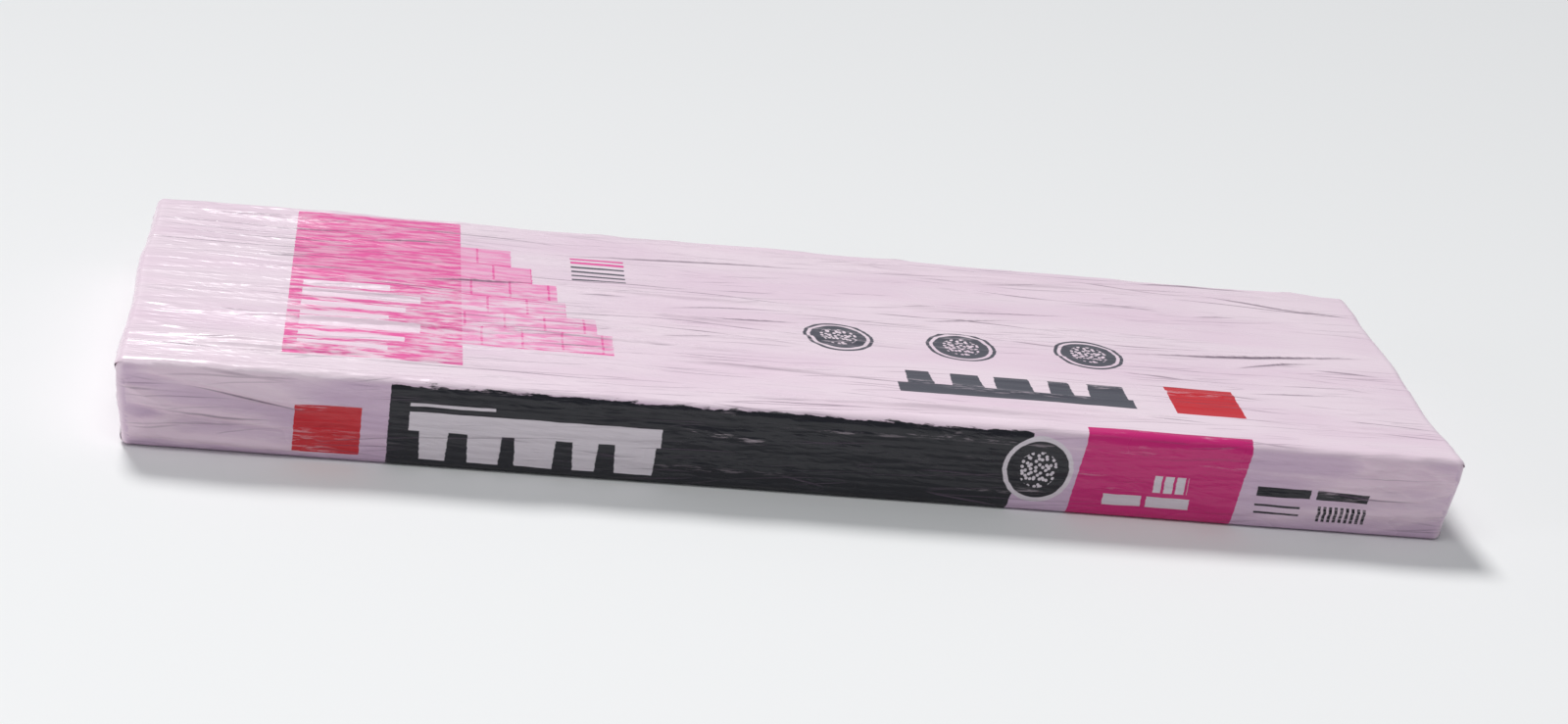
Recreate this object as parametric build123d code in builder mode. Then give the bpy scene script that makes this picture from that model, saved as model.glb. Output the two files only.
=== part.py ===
"""A bundle of laminated asphalt roof shingles in a printed film wrap.

Lengths are in millimetres.  The bundle lies flat as it does on a pallet or a
floor: X runs along its length, the long front side faces -Y, and Z is up.  The
origin is the middle of the underside of the wrap.

A laminated shingle is two plies thick along its lower half, where a toothed
ply is bonded to a plain shim, and one ply thick along its upper half.  Every
second shingle in the bundle is turned end for end, so that the thick half of
one lies over the thin half of the next.  Each pair then takes three plies of
height: one shingle of the pair steps down over the edge of its own shim, and
the other one lies flat on top of it.
"""
import os

from build123d import *

# Shingle
shingle_length = 1000.0
shingle_depth = 337.0
ply = 1.95
middle_strip = 7.0
bonded_strip = 25.0

# Teeth: one notch in each pitch, its width and its shift from the middle
notch_widths = (92.0, 118.0, 74.0, 104.0, 86.0)
notch_shifts = (-14.0, 8.0, -5.0, 15.0, -9.0)
tooth_slant = 85.0

# Stack
pairs = 11
rest_gap = 0.08
end_slips = (0.0, 0.9, -0.6, 0.4, -1.0, 0.8, -0.3)
side_slips = (0.0, 0.4, -0.2, -0.4, 0.3)

# Film wrap
film = 0.6
room_over = 0.1
room_beside = 3.0
room_endways = 3.0
side_fold_reach = 52.0
lower_flap_reach = 44.0
upper_flap_reach = 46.0
fold_slant = 45.0

# Sizes that follow from those above
shim_depth = (shingle_depth - middle_strip) / 2
tooth_length = shim_depth - bonded_strip
notch_pitch = shingle_length / len(notch_widths)
front = -shingle_depth / 2
back = shingle_depth / 2
pair_height = 3 * ply + 2 * rest_gap
stack_height = pairs * pair_height - rest_gap
stack_base = film + room_over
film_height = stack_height + 2 * (film + room_over)
film_width = shingle_depth + 2 * (max(side_slips) + room_beside + film)
film_length = shingle_length + 2 * (-min(end_slips) + room_endways + film)
inner_radius = min(room_beside, room_endways)
film_radius = inner_radius + film


def slip(table, number):
    """Small misplacement of one shingle in the stack."""
    return table[number % len(table)]


def notch_row(number):
    """Middle and width of each notch of one shingle, counted along its length."""
    count = len(notch_widths)
    row = []
    for place in range(count):
        shift = notch_shifts[(place + 2 * number) % count]
        width = notch_widths[(place + 3 * number) % count]
        middle = (place + 0.5) * notch_pitch - shingle_length / 2 + shift
        row.append((middle, width))
    return row


os.makedirs("parts", exist_ok=True)

# Shingles with the butt edge in front: shim below, and the toothed ply steps
# down by its own thickness behind the shim
with BuildPart() as shingles_butt_front:
    for pair in range(pairs):
        base = stack_base + pair * pair_height
        along = slip(end_slips, 2 * pair)
        across = slip(side_slips, 2 * pair)
        shim_edge = front + shim_depth
        foot = shim_edge + middle_strip
        with BuildSketch(Plane.YZ.offset(along - shingle_length / 2)):
            with BuildLine():
                Polyline(
                    (front + across, base),
                    (shim_edge + across, base),
                    (shim_edge + across, base + ply),
                    (foot + across, base),
                    (back + across, base),
                    (back + across, base + ply),
                    (foot + across, base + ply),
                    (shim_edge + across, base + 2 * ply),
                    (front + across, base + 2 * ply),
                    close=True,
                )
            make_face()
        extrude(amount=shingle_length)
        with BuildSketch(Plane.XY.offset(base + ply)):
            for middle, width in notch_row(2 * pair):
                with Locations((middle + along, front + across + tooth_length / 2)):
                    Trapezoid(width, tooth_length, tooth_slant)
        extrude(amount=ply, mode=Mode.SUBTRACT)

# Shingles turned end for end: the toothed ply lies flat, with its shim at the
# back, on the thin half of the shingle below
with BuildPart() as shingles_butt_back:
    for pair in range(pairs):
        base = stack_base + pair * pair_height + 2 * ply + rest_gap
        along = slip(end_slips, 2 * pair + 1)
        across = slip(side_slips, 2 * pair)
        shim_edge = back - shim_depth
        with BuildSketch(Plane.YZ.offset(along - shingle_length / 2)):
            with BuildLine():
                Polyline(
                    (front + across, base),
                    (shim_edge + across, base),
                    (shim_edge + across, base - ply),
                    (back + across, base - ply),
                    (back + across, base + ply),
                    (front + across, base + ply),
                    close=True,
                )
            make_face()
        extrude(amount=shingle_length)
        with BuildSketch(Plane.XY.offset(base)):
            for middle, width in notch_row(2 * pair + 1):
                with Locations((middle + along, back + across - tooth_length / 2)):
                    Trapezoid(width, tooth_length, tooth_slant, rotation=180)
        extrude(amount=ply, mode=Mode.SUBTRACT)

# Room for the stack inside the wrap
with BuildPart() as stack_room:
    with BuildSketch(Plane.XY.offset(film)):
        Rectangle(film_length - 2 * film, film_width - 2 * film)
    extrude(amount=film_height - 2 * film)
    fillet(stack_room.edges(), inner_radius)

# Film wrap: a rounded sleeve closed at both ends by folds laid one over the
# other, first the sides, then the lower flap and the upper flap
with BuildPart() as film_wrap:
    with BuildSketch():
        Rectangle(film_length, film_width)
    extrude(amount=film_height)
    fillet(film_wrap.edges(), film_radius)
    add(stack_room.part, mode=Mode.SUBTRACT)

    end_width = film_width - 2 * film_radius
    end_height = film_height - 2 * film_radius
    end_plane = Plane.YZ.offset(film_length / 2)
    with BuildSketch(end_plane):
        for side in (-1, 1):
            with Locations((side * (end_width - side_fold_reach) / 2, film_height / 2)):
                Rectangle(side_fold_reach, end_height)
    extrude(amount=film)
    with BuildSketch(end_plane):
        with Locations((0, film_radius + lower_flap_reach / 2)):
            Trapezoid(end_width, lower_flap_reach, fold_slant)
    extrude(amount=2 * film)
    with BuildSketch(end_plane):
        with Locations((0, film_height - film_radius - upper_flap_reach / 2)):
            Trapezoid(end_width, upper_flap_reach, fold_slant, rotation=180)
    extrude(amount=3 * film)
    mirror(about=Plane.YZ)

shingles_butt_front.part.label = "shingles_butt_front"
shingles_butt_back.part.label = "shingles_butt_back"
film_wrap.part.label = "film_wrap"

export_step(shingles_butt_front.part, "parts/shingles_butt_front.step")
export_step(shingles_butt_back.part, "parts/shingles_butt_back.step")
export_step(film_wrap.part, "parts/film_wrap.step")
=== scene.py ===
"""Finish of a bundle of laminated asphalt roof shingles in a printed film wrap.

The wrap is one sheet of film: a sleeve round the stack, lapped under it, whose two
ends are folded in as a parcel's are.  Each fold is a surface of two parameters.

Lengths are in metres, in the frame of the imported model: X runs along the bundle, its
long front side faces -Y, and Z is up from the surface that it lies on.  A place on the
film is (u, v).  u runs with X and on down the folds of the ends.  v runs round the
bundle from its long front top edge: below 0 down the front side, above 0 over the top,
and down the back side from back_v.
"""
import math
from typing import NamedTuple

import bmesh
import bpy
import numpy as np
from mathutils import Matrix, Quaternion, Vector


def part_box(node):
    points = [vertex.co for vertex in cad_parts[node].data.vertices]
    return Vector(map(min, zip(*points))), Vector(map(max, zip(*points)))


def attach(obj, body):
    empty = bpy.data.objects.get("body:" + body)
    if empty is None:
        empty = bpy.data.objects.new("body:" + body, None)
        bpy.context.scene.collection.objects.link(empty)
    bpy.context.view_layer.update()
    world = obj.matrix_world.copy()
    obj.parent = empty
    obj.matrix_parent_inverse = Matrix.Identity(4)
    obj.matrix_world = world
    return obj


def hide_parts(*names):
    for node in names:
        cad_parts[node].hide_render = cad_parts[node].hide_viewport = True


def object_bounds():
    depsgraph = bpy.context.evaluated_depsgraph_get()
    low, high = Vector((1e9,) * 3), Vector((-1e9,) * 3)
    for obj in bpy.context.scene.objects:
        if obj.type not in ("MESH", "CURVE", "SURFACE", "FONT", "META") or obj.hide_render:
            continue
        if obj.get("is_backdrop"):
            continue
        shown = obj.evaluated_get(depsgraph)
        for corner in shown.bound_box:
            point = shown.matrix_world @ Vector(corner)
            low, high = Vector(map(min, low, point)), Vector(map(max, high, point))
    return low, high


bl_info = {
    "name": "Shingle bundle",
    "version": (1, 0, 0),
    "blender": (4, 5, 0),
    "location": "View3D > Sidebar > Shingle bundle",
    "description": "Wraps a bundle of roof shingles in creased, printed film",
    "category": "Object",
}

MM = 0.001
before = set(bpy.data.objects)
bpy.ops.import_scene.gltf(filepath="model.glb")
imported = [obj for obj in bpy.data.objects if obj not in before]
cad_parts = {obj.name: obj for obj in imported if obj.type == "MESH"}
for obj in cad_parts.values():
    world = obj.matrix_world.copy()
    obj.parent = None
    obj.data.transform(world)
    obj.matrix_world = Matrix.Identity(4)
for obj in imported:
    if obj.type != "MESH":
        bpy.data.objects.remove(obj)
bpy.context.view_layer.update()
wrap_end, wrap_side, wrap_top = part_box("film_wrap")[1]
GROUND = 0.05 * MM


# Settings


def length(name, description, default):
    """A length that a user can change, in metres."""
    return bpy.props.FloatProperty(
        name=name, description=description, default=default, unit="LENGTH", subtype="DISTANCE"
    )


def angle(name, description, degrees):
    """An angle that a user can change, given in degrees and kept in radians."""
    return bpy.props.FloatProperty(
        name=name, description=description, default=math.radians(degrees), subtype="ANGLE"
    )


def colour(name, description, *srgb):
    """A colour that a user can change, given in sRGB from 0 to 255 and kept linear."""
    part = np.array(srgb) / 255
    linear = np.where(part <= 0.04045, part / 12.92, ((part + 0.055) / 1.055) ** 2.4)
    return bpy.props.FloatVectorProperty(
        name=name, description=description, default=(*linear.tolist(), 1.0),
        size=4, min=0, max=1, subtype="COLOR",
    )


class WrapSettings(bpy.types.PropertyGroup):
    half_width: length("Half width", "Middle of the bundle to the film's long side", wrap_side - 0.2 * MM)
    height: length("Height", "Floor to the film's top", wrap_top + 0.2 * MM)
    top_radius: length("Top radius", "Radius of the long top edges", 6.5 * MM)
    foot_radius: length("Foot radius", "Radius of the long bottom edges", 5.5 * MM)
    end: length("End", "Middle of the bundle to where an end starts to round over", wrap_end - 6.6 * MM)
    end_radius: length("End radius", "Radius with which the film turns over an end", 5.0 * MM)
    side_fold: length("Side fold", "Reach of the folded-in sides over an end", 52 * MM)
    lower_flap: length("Lower flap", "Reach of the lower flap up an end", 44 * MM)
    upper_flap: length("Upper flap", "Reach of the upper flap down an end", 46 * MM)
    ply_gap: length("Fold gap", "Distance between folds laid one over the other", 0.9 * MM)
    lap: length("Lap", "Width of the film's lap under the bundle", 35 * MM)
    lap_edge: length("Lap edge", "Middle of the bundle to the inner edge of the lap", 60 * MM)
    left_bulge: length("Left bulge", "How far the loose film stands out on the left", 10.0 * MM)
    right_bulge: length("Right bulge", "How far the loose film stands out on the right", 8.5 * MM)
    film: colour("Film", "Plain film", 246, 227, 237)
    cloudy: colour("Cloudy film", "Film in its darker, broad clouds", 232, 202, 221)
    # Painted shade: the long sides are darker, partly the dark stack showing through the film
    side: colour("Side film", "Film drawn tight over the edges of the stack", 224, 194, 214)
    # Painted shade: darker lilac in the hollows between folds, where the slack is low, partly the dark
    # stack showing through
    close: colour("Close film", "Film where it lies close on the dark stack", 196, 166, 198)
    scuffed: colour("Scuffed film", "Ink and film rubbed pale on the ridges", 236, 216, 228)
    # Painted shade of the creases: dark lines in the folds, partly the doubled film
    fold: colour("Fold lines", "Film where it is creased sharply", 104, 84, 104)
    black: colour("Black ink", "Broad band along each side", 24, 24, 33)
    magenta: colour("Magenta ink", "Block near one end of each side", 206, 32, 118)
    pink: colour("Pink ink", "Block on the top", 240, 92, 166)
    pale_pink: colour("Pale pink ink", "Courses beside the block on the top", 246, 150, 198)
    bars: colour("Bars", "Bars left pale on the pink block", 247, 222, 236)
    pale: colour("Pale ink", "Marks on the bands", 222, 212, 220)
    red: colour("Red ink", "Small tiles", 206, 38, 50)
    grey: colour("Grey ink", "Marks on the top", 84, 84, 94)


class ShingleSettings(bpy.types.PropertyGroup):
    granule: length("Granule", "Size of the mineral granules", 1.3 * MM)
    dark: colour("Dark granules", "Darkest granules", 22, 22, 24)
    pale: colour("Pale granules", "Palest granules", 92, 94, 98)
    asphalt: colour("Asphalt", "Cut edges and underside", 16, 15, 15)


class StageSettings(bpy.types.PropertyGroup):
    azimuth: angle("Azimuth", "Camera's way round the bundle", -9.1)
    elevation: angle("Elevation", "Camera's height over the horizon", 22.2)
    roll: angle("Roll", "Turn of the camera about its own line of sight", 8.0)
    distance: length("Distance", "Camera to the middle of the bundle", 2.42)
    lens: bpy.props.FloatProperty(
        name="Lens", description="Focal length on a 36 mm sensor, in millimetres", default=69.0, min=10
    )
    floor: length("Floor", "Side of the floor", 16.0)


# Creases


class Kind(NamedTuple):
    """A kind of random crease: the least and most of its half length, its width and its
    height, in millimetres, and the share of them that are furrows."""

    half: tuple
    width: tuple
    height: tuple
    furrows: float = 0.0


TOP_FINE = Kind((30, 190), (1.2, 2.4), (0.3, 1.1), 0.35)
TOP_BROAD = Kind((70, 280), (2.0, 4.2), (1.2, 3.0))
TOP_CORNER = Kind((25, 90), (1.6, 3.6), (0.4, 1.6), 0.25)
SIDE_FINE = Kind((25, 150), (1.2, 2.4), (0.3, 1.0), 0.3)
SIDE_CORNER = Kind((25, 80), (1.6, 4.0), (0.5, 1.8), 0.2)
LONG_EDGE = Kind((10, 50), (1.0, 1.9), (0.3, 0.9), 0.3)
END_CORNER = Kind((12, 45), (1.2, 2.6), (0.4, 1.5), 0.3)
END_UPRIGHT = Kind((10, 32), (1.0, 2.4), (0.4, 1.3), 0.35)
END_LEVEL = Kind((12, 60), (1.0, 2.0), (0.2, 0.7), 0.3)

# Of a random crease: the spread of its bow, the range of its lower flank's share, and how
# deep a furrow is beside a ridge's height
BOW_SPREAD, FLANKS, FURROW_DEPTH = 1.0 * MM, (0.5, 1.6), 0.6

# Broad folds on the long front side and the top.  Each row is the middle's u and v, the
# angle to the bundle in radians, half the length, the bow, the width, the lower flank's
# share of it and the height, with lengths in millimetres.
STROKE_UNITS = np.array([MM, MM, 1, MM, MM, MM, 1, MM])
BROAD_FOLDS = STROKE_UNITS * np.array(
    [
        (-430, -13, -0.17, 85, -1, 7, 0.25, 4.6),
        (-445, -36, -0.12, 85, 2, 5, 0.4, 3.6),
        (-435, -56, -0.04, 110, 1, 6, 0.5, 4.4),
        (-483, -24, -0.5, 30, 0, 2.4, 0.8, 2.4),
        (-476, -41, 0.35, 30, 0, 2.2, 1.2, 2),
        (455, -20, 0.14, 90, 2, 3.4, 1.8, 2.8),
        (440, -46, 0.05, 100, -1, 3.4, 1.5, 2.6),
        (468, -44, 0.2, 35, 4, 2.4, 0.6, 2.4),
        (-60, -22, -0.1, 55, 0, 1.5, 1.6, 1.6),
        (180, 318, -0.02, 300, 3, 5, 1.8, 4.2),
        (-120, 130, 0.03, 260, -3, 5.2, 0.7, 1.8),
    ]
)

# Sharp creases that stand out on the top and the long front side, as ridges and as lines of
# painted shade.  Each row is one end's u and v, the other end's u and v, the bow and the
# height, in millimetres.
PLEATS = MM * np.array(
    [
        (-210, 280, 60, 300, 2, 1.4),
        (-110, 186, 0, 203, -2, 1),
        (-85, 165, 15, 176, 1, 1.8),
        (-175, 202, -125, 204, 0, 0.9),
        (100, 200, 200, 220, 2, 1),
        (130, 224, 255, 243, -1, 0.9),
        (270, 163, 500, 194, 5, 2.4),
        (262, 127, 330, 118, 1, 1.2),
        (300, 330, 440, 336, -1, 1.6),
        (365, 312, 485, 286, 2, 1.5),
        (352, 262, 400, 268, 0, 1),
        (360, 156, 445, 179, -2, 1.6),
        (430, 164, 490, 160, 1, 1.2),
        (355, 100, 445, 111, 1, 1),
        (-430, 290, -335, 297, 1, 1.5),
        (-355, 278, -260, 290, -2, 1.8),
        (-435, 231, -375, 235, 0, 1.2),
        (-430, 207, -325, 216, 1, 1.3),
        (-310, 200, -190, 217, 2, 2.2),
        (-460, 114, -405, 105, 0, 1),
        (-462, -12, -368, -28, -1, 2.6),
        (-480, -33, -395, -38, 2, 1.2),
        (395, -31, 482, -36, 3, 1.6),
    ]
)

# The ridge beside a sharp crease's line of painted shade: how far up the film it lies, its
# length as a share of the line's, its width and its lower flank's share of it
PLEAT_SHIFT, PLEAT_LENGTH, PLEAT_WIDTH, PLEAT_FLANK = 1.2 * MM, 1.2, 3.2 * MM, 0.45


def smooth_noise(a, b, seed):
    """Value noise, from 0 to 1: random numbers on the whole-number grid of (a, b), blended
    between the four nearest with the weight 3t^2 - 2t^3."""
    table = np.random.default_rng(seed).random((256, 256))
    ia, ib = np.floor(a).astype(int), np.floor(b).astype(int)
    ta, tb = ease(a - ia), ease(b - ib)
    i0, i1, j0, j1 = ia % 256, (ia + 1) % 256, ib % 256, (ib + 1) % 256
    near = table[i0, j0] * (1 - ta) + table[i1, j0] * ta
    far = table[i0, j1] * (1 - ta) + table[i1, j1] * ta
    return near * (1 - tb) + far * tb


def ease(t):
    """3t^2 - 2t^3 of t held between 0 and 1."""
    t = np.clip(t, 0, 1)
    return t * t * (3 - 2 * t)


def creases(a, b, strokes):
    """Sum of creases over the points (a, b).  Each stroke is a line of half length L at an
    angle to the a axis, bowed by a parabola.  Across the line its height falls off as
    exp(-distance / width), with another width on its lower flank, and along it as
    (1 - (l / L)^2)^2."""
    total = np.zeros(np.broadcast(a, b).shape)
    for a0, b0, turn, half, bow, width, flank, height in strokes:
        da, db = a - a0, b - b0
        along = (da * math.cos(turn) + db * math.sin(turn)) / half
        across = db * math.cos(turn) - da * math.sin(turn) - bow * along * along
        near = (np.abs(along) < 1) & (np.abs(across) < 7 * width)
        side = np.where(across[near] > 0, width, width * flank)
        fade = (1 - along[near] ** 2) ** 2
        total[near] += height * fade * np.exp(-np.abs(across[near]) / side)
    return total


def draw_strokes(rng, count, a, b, turns, kind):
    """Random strokes for creases(), their middles in the ranges a and b.  Their angles
    spread normally in the range turns, and their half lengths evenly by ratio."""
    turn = rng.normal(0, 1, count) * (turns[1] - turns[0]) / 4 + (turns[0] + turns[1]) / 2
    half = MM * kind.half[0] * (kind.half[1] / kind.half[0]) ** rng.random(count)
    width = MM * rng.uniform(*kind.width, count)
    height = MM * rng.uniform(*kind.height, count)
    height = height * np.where(rng.random(count) < kind.furrows, -FURROW_DEPTH, 1)
    middle_a = rng.uniform(*a, count)
    middle_b = rng.uniform(*b, count)
    bow = rng.normal(0, BOW_SPREAD, count)
    flank = rng.uniform(*FLANKS, count)
    return np.stack([middle_a, middle_b, turn, half, bow, width, flank, height], axis=1)


def pleat_stroke(u0, v0, u1, v1, bow, height):
    """The stroke for creases() of one sharp crease."""
    half = math.hypot(u1 - u0, v1 - v0) / 2
    turn = math.atan2(v1 - v0, u1 - u0)
    middle = (u0 + u1) / 2, (v0 + v1) / 2 + PLEAT_SHIFT
    return (*middle, turn, PLEAT_LENGTH * half, bow, PLEAT_WIDTH, PLEAT_FLANK, height)


# Section of the sleeve, and the film's slack over it


# Steps of the section: of each long bottom and top edge, of a side, of the top, and of the
# underside in front of the lap and behind it
FOOT_STEPS, EDGE_STEPS, SIDE_STEPS, TOP_STEPS = 5, 6, 34, 240
UNDER_FRONT_STEPS, UNDER_BACK_STEPS = 18, 12

# Points from the start of a rounding to about its middle
HALF_ROUND = 3

# The lap: how far its inner layer lies over the outer one, and over what length it gets there
LAP_LIFT, LAP_RISE = 0.5 * MM, 12 * MM


def arc(centre, radius, start, stop, steps):
    """Points and outward normals of an arc in YZ, angles in degrees from +Y towards +Z."""
    t = np.radians(np.linspace(start, stop, steps + 1))
    normal = np.stack([np.cos(t), np.sin(t)], axis=1)
    return np.array(centre) + radius * normal, normal


def run(start, stop, steps, normal):
    """Points of a straight run in YZ with one normal, without its two end points."""
    t = np.linspace(0, 1, steps + 1)[1:-1, None]
    points = np.array(start) * (1 - t) + np.array(stop) * t
    return points, np.tile(np.array(normal, float), (len(points), 1))


def sleeve_section(s):
    """Section of the sleeve in YZ: points, outward normals, v, and the number of the point
    amid each rounding.  It starts in the lap under the bundle and goes up the front, over the
    top, down the back and under again."""
    a, top, r, foot = s.half_width, s.height, s.top_radius, s.foot_radius
    lap_in, lap_out = s.lap_edge, s.lap_edge - s.lap
    inner = GROUND + LAP_LIFT
    front_foot = arc((-a + foot, GROUND + foot), foot, 270, 180, FOOT_STEPS)
    front_top = arc((-a + r, top - r), r, 180, 90, EDGE_STEPS)
    back_top = arc((a - r, top - r), r, 90, 0, EDGE_STEPS)
    back_foot = arc((a - foot, GROUND + foot), foot, 0, -90, FOOT_STEPS)
    pieces = [
        (np.array([[lap_in, inner], [lap_out, inner]]), np.array([[0, -1.0], [0, -1.0]])),
        run((lap_out - LAP_RISE, GROUND), front_foot[0][0], UNDER_FRONT_STEPS, (0, -1)),
        front_foot,
        run(front_foot[0][-1], front_top[0][0], SIDE_STEPS, (-1, 0)),
        front_top,
        run(front_top[0][-1], back_top[0][0], TOP_STEPS, (0, 1)),
        back_top,
        run(back_top[0][-1], back_foot[0][0], SIDE_STEPS, (1, 0)),
        back_foot,
        run(back_foot[0][-1], (lap_out, GROUND), UNDER_BACK_STEPS, (0, -1)),
        (np.array([[lap_out, GROUND]]), np.array([[0, -1.0]])),
    ]
    points = np.concatenate([p for p, _ in pieces])
    normals = np.concatenate([n for _, n in pieces])
    steps = np.linalg.norm(np.diff(points, axis=0), axis=1)
    v = np.concatenate([[0], np.cumsum(steps)])
    firsts = np.cumsum([0] + [len(p) for p, _ in pieces])
    marks = dict(zip(("front_foot", "front_top", "back_top", "back_foot"), firsts[2:9:2] + HALF_ROUND))
    return points, normals, v - v[marks["front_top"]], marks


# Three sorts of slack, wide, small and along the long top edges: the height of each, and the
# lengths along and round the bundle over which it varies
WIDE, WIDE_ALONG, WIDE_ROUND = 1.9 * MM, 130 * MM, 50 * MM
SMALL, SMALL_ALONG, SMALL_ROUND = 0.5 * MM, 45 * MM, 14 * MM
EDGE, EDGE_ALONG, EDGE_ROUND = 1.5 * MM, 50 * MM, 9 * MM

# How far the film may lie inside its tight form, where a side's slack starts below its foot
# and over what length, how softly the top begins, and how much its creases fade at the ends
DEEPEST = 0.3 * MM
HELD_PAST, HELD_SOFT, TOP_SOFT = 2 * MM, 12 * MM, 6 * MM
CALM_SHARE, CALM_REACH = 0.65, 45 * MM

# An end's bulge: its width, and of the small waves on it the width, the rise and the height
BULGE_WIDTH = 60 * MM
RIPPLE_WIDTH, RIPPLE_RISE, RIPPLE = 20 * MM, 30 * MM, 1.4 * MM


class Film:
    """Shape of the slack and the creases of the film, from its settings."""

    def __init__(self, s):
        self.s = s
        self.points, self.normals, self.v, self.marks = sleeve_section(s)
        self.back_v = self.v[self.marks["back_top"]]
        creased = self.random_strokes(np.random.default_rng(41))
        self.strokes = np.concatenate(creased + [BROAD_FOLDS, [pleat_stroke(*row) for row in PLEATS]])

    def random_strokes(self, rng):
        """Fine and broad creases nearly along the top, fine ones along each long side and
        slanted ones at its ends, short ones along both long top edges, and creases that run
        in from the four corners of the top."""
        end, back, side = self.s.end, self.back_v, self.s.height - 5 * MM
        whole, level = (-end, end), (-0.04, 0.04)
        rows = [
            (190, whole, (2 * MM, back - 2 * MM), level, TOP_FINE),
            (30, (-0.45, 0.48), (0.02, back - 10 * MM), (-0.05, 0.05), TOP_BROAD),
        ]
        for face in ((-side, -3 * MM), (back + 3 * MM, back + side)):
            rows.append((45, whole, face, level, SIDE_FINE))
            for way in (-1, 1):
                near = (way * end - 60 * MM, way * end + 30 * MM)
                for turn in (-1, 1):
                    rows.append((8, near, face, (turn * 0.12, turn * 0.6), SIDE_CORNER))
        for edge in (0.0, back):
            rows.append((110, whole, (edge - 6 * MM, edge + 7 * MM), (-0.16, 0.16), LONG_EDGE))
        for way in (-1, 1):
            near = (way * end - 60 * MM, way * end + 20 * MM)
            for turn, part in ((1, (2 * MM, back / 2)), (-1, (back / 2, back - 2 * MM))):
                turns = (way * turn * 0.05, way * turn * 0.45)
                rows.append((12, near, part, turns, TOP_CORNER))
        return [draw_strokes(rng, *row) for row in rows]

    def slack(self, x, v):
        """Height of the film over its tight form at (x, v), and the creases' share of it.
        The underside stays tight, and the top's creases fade towards its ends."""
        s, back = self.s, self.back_v
        foot = s.height + HELD_PAST
        held = ease((v + foot) / HELD_SOFT) * ease((back + foot - v) / HELD_SOFT)
        on_top = ease((v + TOP_SOFT) / TOP_SOFT) * ease((back + TOP_SOFT - v) / TOP_SOFT)
        calm = 1 - CALM_SHARE * on_top * (1 - ease((s.end - np.abs(x)) / CALM_REACH))
        wide = WIDE * smooth_noise(x / WIDE_ALONG + 7.3, v / WIDE_ROUND + 3.1, 5)
        small = SMALL * smooth_noise(x / SMALL_ALONG, v / SMALL_ROUND, 6)
        edges = np.exp(-np.minimum(np.abs(v), np.abs(v - back)) / EDGE_ROUND)
        which = np.where(v < back / 2, -1.0, 1.0)
        wave = EDGE * edges * smooth_noise(x / EDGE_ALONG, which, 7)
        folds = creases(x, v, self.strokes) * calm
        return held * np.maximum(wide + (small + wave) * calm + folds, -DEEPEST), folds

    def bulge(self, way, y, z):
        """How far the film of an end stands out past its tight plane at (y, z): a wide noise
        that grows with the height, and a small one."""
        s = self.s
        size, seed = (s.right_bulge, 21) if way > 0 else (s.left_bulge, 20)
        wide = smooth_noise(y / BULGE_WIDTH + 9.5, z / BULGE_WIDTH + 2.5, seed)
        small = smooth_noise(y / RIPPLE_WIDTH + 4.5, z / RIPPLE_RISE + 1.5, seed + 2)
        high = 0.2 + 0.8 * ease(z / s.height)
        return size * high * (0.45 + 0.55 * wide) + RIPPLE * small


# Meshes of the sleeve and its folded ends


# Steps of the sleeve along the bundle, and of a fold of an end over the edge and beyond it;
# and from how far off an end's bulge draws the sleeve out
SLEEVE_STEPS, TURN_STEPS, REACH_STEPS = 200, 5, 20
DRAWN_OUT = 60 * MM


def grid_faces(rows, columns, first, flip):
    """Four-cornered faces of a grid of rows by columns vertices, numbered row by row."""
    i = np.arange(rows - 1)[:, None] * columns + np.arange(columns - 1)[None, :] + first
    quads = np.stack([i, i + 1, i + columns + 1, i + columns], axis=-1).reshape(-1, 4)
    return quads[:, ::-1] if flip else quads


def sleeve_patch(film):
    """Sleeve: at (x, v) the section's point plus its normal times the slack.  The columns
    crowd towards the ends as 0.45 t + 0.55 sin(pi t / 2), and near each end x is drawn out
    with the bulge of that end."""
    s = film.s
    t = np.linspace(-1, 1, SLEEVE_STEPS + 1)
    x = s.end * (0.45 * t + 0.55 * np.sin(math.pi / 2 * t))
    x_grid, v_grid = np.meshgrid(x, film.v, indexing="ij")
    slack, folds = film.slack(x_grid, v_grid)
    y = film.points[None, :, 0] + film.normals[None, :, 0] * slack
    z = film.points[None, :, 1] + film.normals[None, :, 1] * slack
    shift = np.zeros_like(x_grid)
    for way in (-1, 1):
        near = ease((way * x_grid - (s.end - DRAWN_OUT)) / DRAWN_OUT)
        shift += way * near * film.bulge(way, y, z)
    points = np.stack([x_grid + shift, y, z], axis=-1)
    return points, np.stack([x_grid, v_grid], axis=-1), folds, slack


class Fold(NamedTuple):
    """A part of the film folded over an end: the points, normals and v of the section that
    it starts from, its reach, how many folds lie under it, its way in YZ, how far its cut
    edge wanders, and whether it is mitred as a parcel's flap is."""

    columns: tuple
    reach: float
    layer: int
    inward: tuple
    wander: float = 0.0
    mitred: bool = True


# Over which length a fold settles after its turn, closes at its mitred sides and sinks
# between the side folds, and how far it sinks there and at most
SETTLE, MITRE_SOFT, HOLLOW_SOFT = 8 * MM, 5 * MM, 7 * MM
HOLLOW, DEEPEST_AT_END = 1.6 * MM, 2.4 * MM

# Curl of the upper flap's cut edge: the least and what noise adds, and the lip at its rim,
# with the share of the reach at which each starts
CURL, CURL_NOISE, CURL_START = 1.2 * MM, 2.4 * MM, 0.70
LIP, LIP_START = 1.2 * MM, 0.92


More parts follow.
